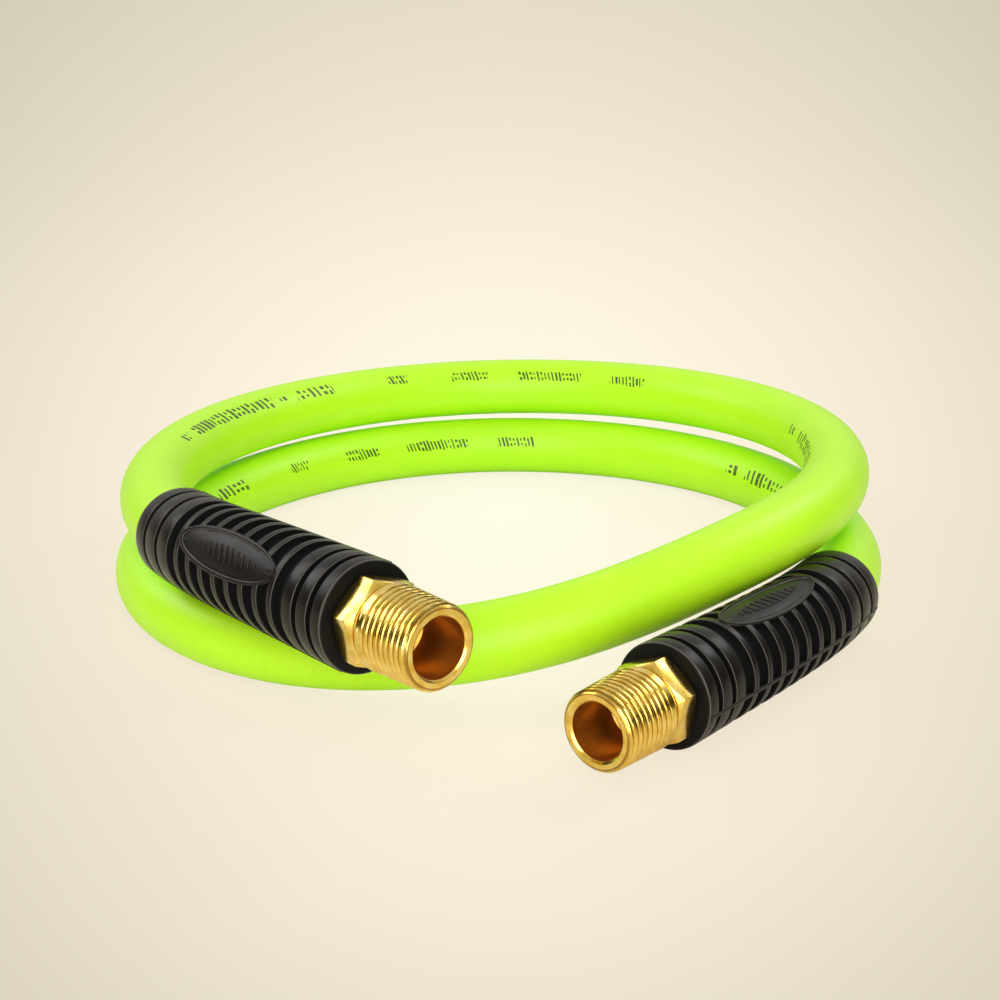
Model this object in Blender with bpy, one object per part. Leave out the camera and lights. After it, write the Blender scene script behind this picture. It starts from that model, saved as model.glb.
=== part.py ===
"""Air hose lying in a loose coil, with a pipe fitting and a ribbed boot on each end.

Metres, +Z up. The origin is on the ground, under the middle of the whole object.
Each end is measured from the nose of its fitting: the straight pieces are turned
about that end's axis, and the hose and the boots follow the hose's own route.
"""

import math

import bmesh
import bpy
import numpy as np
from mathutils import Matrix, Vector

MM = 0.001
CLEARANCE = 0.3 * MM

# Hose: a half-inch bore, and a wall that makes it 20.6 mm across outside.
HOSE_BORE = 12.7 * MM
HOSE_WALL = 3.95 * MM
HOSE_DIAMETER = HOSE_BORE + 2 * HOSE_WALL
HOSE_RADIUS = HOSE_DIAMETER / 2

# The strand on the ground is cut flat there, so its axis lies lower by this much.
SEAT_DEPTH = HOSE_DIAMETER / 10
LYING_HEIGHT = HOSE_RADIUS - SEAT_DEPTH
GROUND_SIZE = 0.5

# The wall from the bore to that flat is shared out: liner, braid, and cover for the rest.
LAYER_STOCK = LYING_HEIGHT - HOSE_BORE / 2 - 2 * CLEARANCE
INNER_TUBE_WALL = 0.46 * LAYER_STOCK
REINFORCEMENT_WALL = 0.23 * LAYER_STOCK

# Fitting: half-inch tapered male pipe thread on a thirteen-sixteenths hexagon.
THREAD_LENGTH = 18.0 * MM
THREAD_NOSE_RADIUS = 10.36 * MM
THREAD_TAPER = 1 / 32
NOSE_CHAMFER = 0.9 * MM
THREAD_RELIEF = 1.4 * MM
RELIEF_DEPTH = 1.2 * MM
HEXAGON_WIDTH = 20.64 * MM
HEXAGON_LENGTH = 7.2 * MM
HEXAGON_CHAMFER_ANGLE = math.radians(35)
HEXAGON_FACE_RADIUS = HEXAGON_WIDTH / 2 - 0.3 * MM
MOUTH_RADIUS = 7.4 * MM
MOUTH_DEPTH = 15.5 * MM
MOUTH_CHAMFER = 0.5 * MM
DRILL_HALF_ANGLE = math.radians(59)
NECK_RADIUS = 6.6 * MM
STEM_BORE_RADIUS = 4.6 * MM
STEM_LENGTH = 24.0 * MM
BARB_COUNT = 4
BARB_DEPTH = 0.6 * MM

# Ferrule: a crimped sleeve with an inward flange behind the hexagon.
FERRULE_WALL = 0.8 * MM
FERRULE_FLANGE = 1.2 * MM
FERRULE_LENGTH = 28.0 * MM
CRIMP_COUNT = 3
CRIMP_WIDTH = 4.0 * MM
CRIMP_DEPTH = 0.25 * MM

# Bend restrictor: bands at both ends, narrow ribs between, an oval pad on one side.
# Its grooves leave one wall over the ferrule at the front and over the hose at the rear.
BOOT_WALL = 0.9 * MM
BOOT_LIP = 1.5 * MM
GROOVE_DEPTH = 1.5 * MM
BOOT_REAR_RADIUS = HOSE_RADIUS + CLEARANCE + BOOT_WALL + GROOVE_DEPTH
BOOT_FRONT_RADIUS = BOOT_REAR_RADIUS + FERRULE_WALL + CLEARANCE
BAND_COUNT = 3
FRONT_BAND_WIDTH = 4.1 * MM
FRONT_BAND_GROOVE = 2.0 * MM
RIB_COUNT = 8
RIB_WIDTH = 2.0 * MM
RIB_PITCH = 6.45 * MM
REAR_BAND_WIDTH = 5.7 * MM
REAR_BAND_GROOVE = 2.1 * MM
COLLAR_ROUNDING = 1.0 * MM
SPINE_HALF_WIDTH = 0.4 * MM
SPINE_FOOT_HALF_WIDTH = 0.7 * MM
SPINE_HEIGHT = 0.2 * MM
OVAL_CENTRE = 44.4 * MM
OVAL_HALF_LENGTH = 22.2 * MM
OVAL_HALF_WIDTH = 6.3 * MM
OVAL_HEIGHT = 0.3 * MM
OVAL_RIM = 0.9 * MM
OVAL_RECESS = 0.5 * MM

# The turned pieces' places along an end, from the nose.
HEXAGON_FRONT = THREAD_LENGTH + THREAD_RELIEF
HEXAGON_REAR = HEXAGON_FRONT + HEXAGON_LENGTH
BOOT_FRONT = HEXAGON_REAR + CLEARANCE
FERRULE_FRONT = BOOT_FRONT + BOOT_LIP + CLEARANCE
FERRULE_REAR = FERRULE_FRONT + FERRULE_LENGTH
NECK_REAR = FERRULE_FRONT + FERRULE_FLANGE
HOSE_START = NECK_REAR + CLEARANCE

# Each end stays straight a little past its ferrule, and then joins the coil.
STRAIGHT_LENGTH = {"a": FERRULE_REAR + 3.7 * MM, "b": FERRULE_REAR + 1.8 * MM}

# Route of the coil, clockwise from end A to end B, about a point near its middle.
# Each station has the axis's distance from that point, in metres, and its rise
# above the strand on the ground, in hose diameters. The last rise is worked out,
# because the boot of end B lies on the ground.
COIL_MIDDLE = (-0.08 * MM, 24.67 * MM)
COIL_START_ANGLE = math.radians(-113.4)
COIL_SWEEP = math.radians(667.8)
END_B_RISE = (BOOT_FRONT_RADIUS - LYING_HEIGHT) / HOSE_DIAMETER
COIL_STATIONS = (
    (133.0 * MM, 1.52),
    (114.0 * MM, 1.34),
    (106.5 * MM, 1.24),
    (105.5 * MM, 1.18),
    (109.5 * MM, 1.13),
    (115.0 * MM, 1.12),
    (116.5 * MM, 1.17),
    (113.5 * MM, 1.24),
    (107.5 * MM, 1.27),
    (102.0 * MM, 1.24),
    (101.0 * MM, 1.03),
    (107.0 * MM, 0.54),
    (112.5 * MM, 0.17),
    (113.5 * MM, 0.00),
    (108.5 * MM, 0.00),
    (104.0 * MM, 0.00),
    (105.0 * MM, 0.00),
    (108.0 * MM, 0.00),
    (110.0 * MM, 0.00),
    (109.5 * MM, 0.00),
    (108.0 * MM, 0.08),
    (113.5 * MM, 0.24),
    (126.0 * MM, END_B_RISE),
)

# How far each end's axis leans outward from the round, and its fall to the coil.
END_LEAN = {"a": math.radians(25.7), "b": math.radians(20.5)}
END_FALL = {"a": math.radians(1.1), "b": 0.0}

# Turn of each end's oval pad, and of a corner of its hexagon, from straight up.
OVAL_ANGLE = {"a": math.radians(-56), "b": math.radians(9)}
HEXAGON_ANGLE = {"a": math.radians(-13), "b": math.radians(8)}

# Facets
SHARP_ANGLE = math.radians(32)
HOSE_SHARP_ANGLE = math.radians(70)
HOSE_SIDES = 6
LAYER_SIDES = 8
TURNED_SIDES = 24
BOOT_SIDES = 20
OVAL_SIDES = 28
POINTS_PER_TURN = 24
COVERED_POINT_SPACING = 11.5 * MM
POINTS_BEYOND_BOOT = 3
ROUTE_SAMPLES = 4000


def clear_scene():
    for old in list(bpy.data.objects):
        bpy.data.objects.remove(old, do_unlink=True)


def make_material(name, colour, roughness, metallic):
    material = bpy.data.materials.new(name)
    material.use_nodes = True
    shader = material.node_tree.nodes["Principled BSDF"]
    shader.inputs["Base Color"].default_value = (*colour, 1.0)
    shader.inputs["Roughness"].default_value = roughness
    shader.inputs["Metallic"].default_value = metallic
    material.diffuse_color = (*colour, 1.0)
    return material


def add_object(name, mesh, material=None):
    item = bpy.data.objects.new(name, mesh)
    bpy.context.scene.collection.objects.link(item)
    if material:
        mesh.materials.append(material)
    return item


def mark_as_cutter(item):
    item.hide_render = True
    item.display_type = "WIRE"
    return item


def add_boolean(item, cutter, operation):
    modifier = item.modifiers.new(operation.lower() + " " + cutter.name, "BOOLEAN")
    modifier.operation = operation
    modifier.object = cutter
    modifier.solver = "EXACT"


def across_flats(radius, sides):
    """Corner radius of a polygon whose flats lie at the given radius."""
    return radius / math.cos(math.pi / sides)


# ---------------------------------------------------------------- route


def spline_slopes(values, first_slope, last_slope):
    """Slopes at evenly spaced stations of the smooth cubic through their values."""
    count = len(values)
    matrix = np.identity(count)
    right = np.zeros(count)
    right[0] = first_slope
    right[-1] = last_slope
    for index in range(1, count - 1):
        matrix[index, index - 1:index + 2] = (1, 4, 1)
        right[index] = 3 * (values[index + 1] - values[index - 1])
    return np.linalg.solve(matrix, right)


def spline_values(values, slopes, places):
    """The cubic's values at places counted in stations."""
    start = np.minimum(places.astype(int), len(values) - 2)
    part = places - start
    rest = 1 - part
    from_values = values[start] * rest * rest * (1 + 2 * part)
    to_values = values[start + 1] * part * part * (1 + 2 * rest)
    from_slopes = slopes[start] * part * rest * rest
    to_slopes = slopes[start + 1] * part * part * rest
    return from_values + to_values + from_slopes - to_slopes


def coil_points():
    """Closely spaced points on the axis of the coiled stretch."""
    radii = np.array([radius for radius, rise in COIL_STATIONS])
    heights = np.array([LYING_HEIGHT + rise * HOSE_DIAMETER for radius, rise in COIL_STATIONS])
    last = len(COIL_STATIONS) - 1
    station_angle = COIL_SWEEP / last
    inward = -math.tan(END_LEAN["a"]) * radii[0] * station_angle
    outward = math.tan(END_LEAN["b"]) * radii[-1] * station_angle
    fall = -math.tan(END_FALL["a"]) * radii[0] * station_angle / math.cos(END_LEAN["a"])
    climb = math.tan(END_FALL["b"]) * radii[-1] * station_angle / math.cos(END_LEAN["b"])
    places = np.linspace(0, last, ROUTE_SAMPLES)
    angles = COIL_START_ANGLE - station_angle * places
    radius = spline_values(radii, spline_slopes(radii, inward, outward), places)
    height = spline_values(heights, spline_slopes(heights, fall, climb), places)
    x = COIL_MIDDLE[0] + radius * np.cos(angles)
    y = COIL_MIDDLE[1] + radius * np.sin(angles)
    return np.stack([x, y, height], axis=1)


class Route:
    """The hose's axis from the nose of fitting A to the nose of fitting B."""

    def __init__(self):
        coil = coil_points()
        into_coil = (coil[1] - coil[0]) / np.linalg.norm(coil[1] - coil[0])
        out_of_coil = (coil[-1] - coil[-2]) / np.linalg.norm(coil[-1] - coil[-2])
        nose_a = coil[0] - STRAIGHT_LENGTH["a"] * into_coil
        nose_b = coil[-1] + STRAIGHT_LENGTH["b"] * out_of_coil
        self.points = np.vstack([nose_a, coil, nose_b])
        steps = np.linalg.norm(np.diff(self.points, axis=0), axis=1)
        self.distances = np.concatenate([[0], np.cumsum(steps)])
        self.length = self.distances[-1]

    def point(self, distance):
        return Vector([np.interp(distance, self.distances, self.points[:, axis]) for axis in range(3)])

    def frame(self, end, distance):
        """Point, direction, up and side at a distance from one end's nose."""
        sign = 1 if end == "a" else -1
        place = distance if end == "a" else self.length - distance
        half_step = 0.5 * MM
        before = self.point(np.clip(place - half_step, 0, self.length))
        after = self.point(np.clip(place + half_step, 0, self.length))
        along = sign * (after - before).normalized()
        up = (Vector((0, 0, 1)) - along.z * along).normalized()
        return self.point(place), along, up, along.cross(up)

    def end_matrix(self, end):
        """Placement of a piece turned about +X, with its +Z up and its nose at zero."""
        nose, along, up, side = self.frame(end, 0)
        matrix = Matrix((along, -side, up)).transposed().to_4x4()
        matrix.translation = nose
        return matrix


def covered_places(end):
    """Places of the hose's points inside a boot, from the straight's end to the boot's rear."""
    covered = BOOT_FRONT + boot_length()
    straight = STRAIGHT_LENGTH[end]
    count = math.ceil((covered - straight) / COVERED_POINT_SPACING)
    return np.linspace(straight, covered, count + 1)


def hose_points(route, start):
    """The hose's points: close together under the boots, a fixed count per turn between."""
    inside_a = covered_places("a")
    inside_b = route.length - covered_places("b")[::-1]
    coiled = route.length - STRAIGHT_LENGTH["a"] - STRAIGHT_LENGTH["b"]
    open_share = (inside_b[0] - inside_a[-1]) / coiled
    open_count = math.ceil(COIL_SWEEP / math.tau * open_share * POINTS_PER_TURN)
    open_places = np.linspace(inside_a[-1], inside_b[0], open_count + 1)[1:-1]
    places = [start, *inside_a, *open_places, *inside_b, route.length - start]
    return [route.point(place) for place in places]


def report_least_gap(route):
    """Prints the least gap between two stretches of the hose that aren't neighbours."""
    places = np.arange(HOSE_START, route.length - HOSE_START, 2 * MM)
    points = np.array([route.point(place) for place in places])
    apart = np.linalg.norm(points[:, None] - points[None], axis=2)
    neighbours = np.abs(places[:, None] - places[None]) < 4 * HOSE_DIAMETER
    least = np.where(neighbours, np.inf, apart).min() - HOSE_DIAMETER
    print(f"least gap of the hose to itself: {least / MM:.2f} mm")


# ---------------------------------------------------------------- shapes


def add_tube(name, points, radius, sides, material=None):
    """A round tube along the points, with a flat side down all the way."""
    curve = bpy.data.curves.new(name, "CURVE")
    curve.dimensions = "3D"
    curve.twist_mode = "Z_UP"
    curve.bevel_depth = radius
    curve.bevel_resolution = sides // 2 - 2
    curve.use_fill_caps = True
    spline = curve.splines.new("POLY")
    spline.points.add(len(points) - 1)
    for place, point in zip(spline.points, points):
        place.co = (*point, 1.0)
        place.tilt = math.pi / sides
    guide = bpy.data.objects.new(name, curve)
    mesh = bpy.data.meshes.new_from_object(guide)
    mesh.name = name
    bpy.data.objects.remove(guide)
    bpy.data.curves.remove(curve)
    return add_object(name, mesh, material)


def past_both_ends(points):
    """The same points, with the first and last moved out so that a cutter breaks through."""
    first = points[0] + (points[0] - points[1]).normalized() * MM
    last = points[-1] + (points[-1] - points[-2]).normalized() * MM
    return [first, *points[1:-1], last]


def mesh_from_rings(name, rings, closed=False):
    """Skins a row of rings of equal count; the row is capped, or joined into a loop."""
    shape = bmesh.new()
    loops = [[shape.verts.new(point) for point in ring] for ring in rings]
    pairs = list(zip(loops, loops[1:]))
    if closed:
        pairs.append((loops[-1], loops[0]))
    else:
        shape.faces.new(loops[0])
        shape.faces.new(list(reversed(loops[-1])))
    for first, second in pairs:
        count = len(first)
        for index in range(count):
            following = (index + 1) % count
            shape.faces.new((first[following], first[index], second[index], second[following]))
    bmesh.ops.recalc_face_normals(shape, faces=shape.faces)
    mesh = bpy.data.meshes.new(name)
    shape.to_mesh(mesh)
    shape.free()
    return mesh


def turned_rings(profile, sides=TURNED_SIDES):
    """Rings about the local +X axis for a profile of (place, radius) points."""
    turns = [math.tau * index / sides for index in range(sides)]
    return [[Vector((place, radius * math.cos(turn), radius * math.sin(turn))) for turn in turns]
            for place, radius in profile]


def shade_round(mesh, sharp_angle=SHARP_ANGLE):
    mesh.shade_smooth()
    mesh.set_sharp_from_angle(angle=sharp_angle)


# ---------------------------------------------------------------- hose


def make_hose(route, rubber, braid, liner):
    points = hose_points(route, HOSE_START)
    through = past_both_ends(points)
    tube_inside = HOSE_BORE / 2
    tube_outside = tube_inside + INNER_TUBE_WALL
    braid_inside = tube_outside + CLEARANCE
    braid_outside = braid_inside + REINFORCEMENT_WALL
    cover_inside = braid_outside + CLEARANCE
    cover = add_tube("hose_cover", points, HOSE_RADIUS, HOSE_SIDES, rubber)
    reinforcement = add_tube("hose_reinforcement", points,
                             across_flats(braid_outside, LAYER_SIDES), LAYER_SIDES, braid)
    tube = add_tube("hose_inner_tube", points,
                    across_flats(tube_outside, LAYER_SIDES), LAYER_SIDES, liner)
    for layer, inside in ((cover, cover_inside), (reinforcement, braid_inside), (tube, tube_inside)):
        radius = across_flats(inside, LAYER_SIDES)
        bore = mark_as_cutter(add_tube(layer.name + " bore", through, radius, LAYER_SIDES))
        add_boolean(layer, bore, "DIFFERENCE")
        shade_round(layer.data, HOSE_SHARP_ANGLE)
    add_boolean(cover, make_ground(), "DIFFERENCE")


def make_ground():
    """A block below the ground, which flattens the strand that lies on it."""
    shape = bmesh.new()
    bmesh.ops.create_cube(shape, size=GROUND_SIZE)
    bmesh.ops.translate(shape, vec=(0, 0, -GROUND_SIZE / 2), verts=shape.verts)
    mesh = bpy.data.meshes.new("ground")
    shape.to_mesh(mesh)
    shape.free()
    return mark_as_cutter(add_object("ground", mesh))


# ---------------------------------------------------------------- fitting


def fitting_profile():
    """Outside of the fitting from the nose's centre to the stem's end."""
    thread_end_radius = THREAD_NOSE_RADIUS + THREAD_LENGTH * THREAD_TAPER
    relief_radius = thread_end_radius - RELIEF_DEPTH
    barb_radius = HOSE_BORE / 2 - CLEARANCE
    root_radius = barb_radius - BARB_DEPTH
    barb_length = (STEM_LENGTH - CLEARANCE) / BARB_COUNT
    profile = [
        (0, THREAD_NOSE_RADIUS - NOSE_CHAMFER),
        (NOSE_CHAMFER, THREAD_NOSE_RADIUS),
        (THREAD_LENGTH - RELIEF_DEPTH / 2, thread_end_radius),
        (THREAD_LENGTH, relief_radius),
        (HEXAGON_FRONT + MM, relief_radius),
        (HEXAGON_FRONT + MM, NECK_RADIUS),
        (NECK_REAR, NECK_RADIUS),
        (NECK_REAR, root_radius),
        (NECK_REAR + CLEARANCE, root_radius),
    ]
    for index in range(BARB_COUNT):
        start = NECK_REAR + CLEARANCE + index * barb_length
        profile.append((start, barb_radius))
        profile.append((start + barb_length, root_radius))
    return profile


def bore_profile():
    """The way through the fitting: mouth, drill point and stem bore."""
    cone_length = (MOUTH_RADIUS - STEM_BORE_RADIUS) / math.tan(DRILL_HALF_ANGLE)
    return [
        (-MM, MOUTH_RADIUS + MOUTH_CHAMFER + MM),
        (MOUTH_CHAMFER, MOUTH_RADIUS),
        (MOUTH_DEPTH, MOUTH_RADIUS),
        (MOUTH_DEPTH + cone_length, STEM_BORE_RADIUS),
        (NECK_REAR + STEM_LENGTH + MM, STEM_BORE_RADIUS),
    ]


def hexagon_mesh():
    corner = across_flats(HEXAGON_WIDTH / 2, 6)
    return mesh_from_rings("hexagon", turned_rings([(HEXAGON_FRONT, corner), (HEXAGON_REAR, corner)], 6))


def hexagon_turning_mesh():
    """The cones that chamfer the hexagon's corners at the front and the rear."""
    beyond_corner = across_flats(HEXAGON_WIDTH / 2, 6) + MM
    chamfer = (beyond_corner - HEXAGON_FACE_RADIUS) * math.tan(HEXAGON_CHAMFER_ANGLE)
    profile = [
        (HEXAGON_FRONT, HEXAGON_FACE_RADIUS),
        (HEXAGON_FRONT + chamfer, beyond_corner),
        (HEXAGON_REAR - chamfer, beyond_corner),
        (HEXAGON_REAR, HEXAGON_FACE_RADIUS),
    ]
    return mesh_from_rings("hexagon turning", turned_rings(profile))


def make_fitting(end, place, brass):
    name = "fitting_" + end
    body = add_object(name, mesh_from_rings(name, turned_rings(fitting_profile())), brass)
    hexagon = mark_as_cutter(add_object("hexagon " + end, hexagon_mesh()))
    turning = mark_as_cutter(add_object("turning " + end, hexagon_turning_mesh()))
    bore_mesh = mesh_from_rings("bore", turned_rings(bore_profile()))
    bore = mark_as_cutter(add_object("bore " + end, bore_mesh))
    for item in (body, turning, bore):
        item.matrix_world = place
    hexagon.matrix_world = place @ Matrix.Rotation(math.radians(90) + HEXAGON_ANGLE[end], 4, "X")
    add_boolean(hexagon, turning, "INTERSECT")
    add_boolean(body, hexagon, "UNION")
    add_boolean(body, bore, "DIFFERENCE")
    shade_round(body.data)


# ---------------------------------------------------------------- ferrule


def ferrule_profile():
    """The sleeve's section, once round: outside to the rear, then back along the inside."""
    inside = across_flats(HOSE_RADIUS + CLEARANCE, TURNED_SIDES)
    outside = inside + FERRULE_WALL
    flange_hole = across_flats(NECK_RADIUS + CLEARANCE, TURNED_SIDES)
    profile = [(FERRULE_FRONT, outside)]
    spacing = FERRULE_LENGTH / (CRIMP_COUNT + 1)
    for index in range(CRIMP_COUNT):
        middle = FERRULE_FRONT + (index + 1) * spacing
        profile.append((middle - CRIMP_WIDTH / 2, outside))
        profile.append((middle - CRIMP_WIDTH / 4, outside - CRIMP_DEPTH))
        profile.append((middle + CRIMP_WIDTH / 4, outside - CRIMP_DEPTH))
        profile.append((middle + CRIMP_WIDTH / 2, outside))
    profile += [
        (FERRULE_REAR, outside),
        (FERRULE_REAR, inside),
        (FERRULE_FRONT + FERRULE_FLANGE, inside),
        (FERRULE_FRONT + FERRULE_FLANGE, flange_hole),
        (FERRULE_FRONT, flange_hole),
    ]
    return profile


def make_ferrule(end, place, brass):
    mesh = mesh_from_rings("ferrule_" + end, turned_rings(ferrule_profile()), closed=True)
    item = add_object("ferrule_" + end, mesh, brass)
    item.matrix_world = place
    shade_round(mesh)


# ---------------------------------------------------------------- bend restrictor


def raised_stretches():
    """Start and end of each band and rib, from the boot's front face."""
    stretches = []
    front = 0.0
    wide_groove = RIB_PITCH - RIB_WIDTH
    for width, groove, count in (
        (FRONT_BAND_WIDTH, FRONT_BAND_GROOVE, BAND_COUNT),
        (RIB_WIDTH, wide_groove, RIB_COUNT),
        (REAR_BAND_WIDTH, REAR_BAND_GROOVE, BAND_COUNT),
    ):
        for index in range(count):
            start = front + index * (width + groove)
            stretches.append((start, start + width))
        front = stretches[-1][1] + wide_groove
    return stretches


def boot_length():
    return raised_stretches()[-1][1]


def crest_radius(place):
    """Radius of the bands and ribs: the boot narrows evenly to its rear."""
    share = place / boot_length()
    return BOOT_FRONT_RADIUS + share * (BOOT_REAR_RADIUS - BOOT_FRONT_RADIUS)


def boot_profile():
    """(place, radius) from front to rear, with both outer edges rounded."""
    rounding = COLLAR_ROUNDING
    soft = rounding * (1 - math.sqrt(0.5))
    stretches = raised_stretches()
    length = stretches[-1][1]
    profile = [(0, crest_radius(0) - rounding), (soft, crest_radius(soft) - soft)]
    for index, (start, finish) in enumerate(stretches):
        if index == 0:
            profile.append((rounding, crest_radius(rounding)))
        else:
            profile.append((start, crest_radius(start) - GROOVE_DEPTH))
            profile.append((start, crest_radius(start)))
        if index < len(stretches) - 1:
            profile.append((finish, crest_radius(finish)))
            profile.append((finish, crest_radius(finish) - GROOVE_DEPTH))
    profile.append((length - rounding, crest_radius(length)))
    profile.append((length - soft, crest_radius(length) - soft))
    profile.append((length, crest_radius(length) - rounding))
    return profile


def boot_ring(route, end, place, radius):
    """One ring of the boot's outside, with a thin spine on each side of the oval."""
    point, along, up, side = route.frame(end, BOOT_FRONT + place)
    near_end = min(place, boot_length() - place) < COLLAR_ROUNDING
    spine_radius = radius if near_end else crest_radius(place) + SPINE_HEIGHT
    corners = []
    for index in range(BOOT_SIDES):
        turn = OVAL_ANGLE[end] + math.tau * index / BOOT_SIDES
        if index % (BOOT_SIDES // 2) == BOOT_SIDES // 4:
            top = SPINE_HALF_WIDTH / radius
            foot = SPINE_FOOT_HALF_WIDTH / radius
            corners += [(turn - foot, radius), (turn - top, spine_radius)]
            corners += [(turn + top, spine_radius), (turn + foot, radius)]
        else:
            corners.append((turn, radius))
    return [point + distance * (math.cos(turn) * up + math.sin(turn) * side)
            for turn, distance in corners]


def oval_ring(route, end, shrink, inset, height_of):
    """An oval outline laid on the boot, at the radius that height_of gives."""
    ring = []
    for index in range(OVAL_SIDES):
        turn = math.tau * index / OVAL_SIDES
        place = OVAL_CENTRE + (OVAL_HALF_LENGTH - inset) * shrink * math.cos(turn)
        arc = (OVAL_HALF_WIDTH - inset) * shrink * math.sin(turn)
        point, along, up, side = route.frame(end, BOOT_FRONT + place)
        around = OVAL_ANGLE[end] + arc / crest_radius(place)
        ring.append(point + height_of(place) * (math.cos(around) * up + math.sin(around) * side))
    return ring


def oval_mesh(route, end, inset, bottom_of, top_of):
    """A slab with an oval outline whose top and bottom follow the boot's round."""
    shrinks = (0.25, 0.65, 1.0)
    bottom = [oval_ring(route, end, shrink, inset, bottom_of) for shrink in shrinks]
    top = [oval_ring(route, end, shrink, inset, top_of) for shrink in reversed(shrinks)]
    return mesh_from_rings("oval", bottom + top)


def make_bend_restrictor(route, end, place, rubber):
    rings = [boot_ring(route, end, along, radius) for along, radius in boot_profile()]
    name = "bend_restrictor_" + end
    boot = add_object(name, mesh_from_rings(name, rings), rubber)
    pad_mesh = oval_mesh(route, end, 0, lambda along: crest_radius(along) - GROOVE_DEPTH - CLEARANCE,
                         lambda along: crest_radius(along) + OVAL_HEIGHT)
    field_mesh = oval_mesh(route, end, OVAL_RIM,
                           lambda along: crest_radius(along) + OVAL_HEIGHT - OVAL_RECESS,
                           lambda along: crest_radius(along) + OVAL_HEIGHT + MM)
    pad = mark_as_cutter(add_object("oval pad " + end, pad_mesh))
    field = mark_as_cutter(add_object("oval field " + end, field_mesh))
    chamber = mark_as_cutter(add_object("ferrule chamber " + end, chamber_mesh()))
    chamber.matrix_world = place
    passage = mark_as_cutter(make_passage(route, end))
    add_boolean(boot, pad, "UNION")
    add_boolean(boot, field, "DIFFERENCE")
    add_boolean(boot, chamber, "DIFFERENCE")
    add_boolean(boot, passage, "DIFFERENCE")
    shade_round(boot.data)


def chamber_mesh():
    """Room in the boot for the fitting's neck, then for the ferrule."""
    neck_hole = across_flats(NECK_RADIUS + CLEARANCE, TURNED_SIDES)
    ferrule_outside = across_flats(HOSE_RADIUS + CLEARANCE, TURNED_SIDES) + FERRULE_WALL
    chamber = across_flats(ferrule_outside + CLEARANCE, TURNED_SIDES)
    profile = [
        (BOOT_FRONT - MM, neck_hole),
        (BOOT_FRONT + BOOT_LIP, neck_hole),
        (BOOT_FRONT + BOOT_LIP, chamber),
        (FERRULE_REAR + CLEARANCE, chamber),
    ]
    return mesh_from_rings("chamber", turned_rings(profile))


def make_passage(route, end):
    """The boot's bore for the hose, on the hose's own points."""
    points = hose_points(route, FERRULE_REAR - MM)
    if end == "b":
        points.reverse()
    through_boot = points[:1 + len(covered_places(end)) + POINTS_BEYOND_BOOT]
    return add_tube("hose passage " + end, through_boot, HOSE_RADIUS + CLEARANCE, HOSE_SIDES)


# ---------------------------------------------------------------- assembly


def main():
    clear_scene()
    green_cover = make_material("hose_cover", (0.42, 0.86, 0.02), 0.45, 0.0)
    white_braid = make_material("hose_reinforcement", (0.75, 0.75, 0.72), 0.8, 0.0)
    dark_liner = make_material("hose_inner_tube", (0.06, 0.06, 0.06), 0.5, 0.0)
    brass = make_material("fitting_brass", (0.80, 0.56, 0.20), 0.28, 1.0)
    sleeve_brass = make_material("ferrule_brass", (0.74, 0.53, 0.22), 0.35, 1.0)
    black_rubber = make_material("boot_rubber", (0.02, 0.018, 0.018), 0.5, 0.0)
    route = Route()
    report_least_gap(route)
    make_hose(route, green_cover, white_braid, dark_liner)
    for end in ("a", "b"):
        place = route.end_matrix(end)
        make_fitting(end, place, brass)
        make_ferrule(end, place, sleeve_brass)
        make_bend_restrictor(route, end, place, black_rubber)


main()
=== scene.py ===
"""Air hose lying in a loose coil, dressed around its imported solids.

The file follows the object as it is put together: the view, the hose from its cover
inward, then the ferrules, the pipe fittings and the bend restrictors of both ends,
and last the floor and the lights. Lengths are in metres, and +Z is up.
"""

import math

import bpy
import numpy as np
from mathutils import Matrix, Vector


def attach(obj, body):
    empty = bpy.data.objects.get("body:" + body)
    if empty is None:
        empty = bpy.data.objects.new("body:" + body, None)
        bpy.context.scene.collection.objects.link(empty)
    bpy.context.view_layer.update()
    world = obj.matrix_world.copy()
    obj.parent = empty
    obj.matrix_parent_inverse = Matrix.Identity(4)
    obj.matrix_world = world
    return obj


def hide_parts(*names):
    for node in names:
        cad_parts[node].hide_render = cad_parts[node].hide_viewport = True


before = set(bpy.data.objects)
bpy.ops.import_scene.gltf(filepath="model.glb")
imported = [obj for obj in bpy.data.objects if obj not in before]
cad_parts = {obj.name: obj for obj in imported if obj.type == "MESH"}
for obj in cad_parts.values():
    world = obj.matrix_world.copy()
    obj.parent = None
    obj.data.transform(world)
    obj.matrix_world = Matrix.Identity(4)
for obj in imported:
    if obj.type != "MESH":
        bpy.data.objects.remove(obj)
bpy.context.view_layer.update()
scene = bpy.context.scene
MM = 0.001


# ---- View
# The photograph's camera looks down on the coil at 17.6 degrees from half a metre
# away, with both threaded ends pointing towards it.

camera_data = bpy.data.cameras.new("camera")
camera_data.sensor_width = 36
camera_data.lens = 61.13
camera = bpy.data.objects.new("camera", camera_data)
camera.location = (-0.0001, -0.4948, 0.1874)
camera.rotation_euler = (math.radians(72.38), 0, 0)
scene.collection.objects.link(camera)
scene.camera = camera
scene.view_settings.view_transform = "Standard"


# ---- Hose cover
# The hose is one length of soft hybrid polymer with a half-inch bore, extruded over a
# braid. It keeps the curve of the reel that it came off, and lies in not quite two
# turns, the lower one on the floor. Its line is a smooth curve through the stations.

hose_radius = 10.3 * MM
cover_inside = 7.7 * MM
coil_middle = (-0.08 * MM, 24.67 * MM)
coil_start = math.radians(-113.4)
coil_sweep = math.radians(667.8)
straight_a = 60.4 * MM
straight_b = 58.5 * MM
hose_inset = 30.2 * MM

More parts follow.
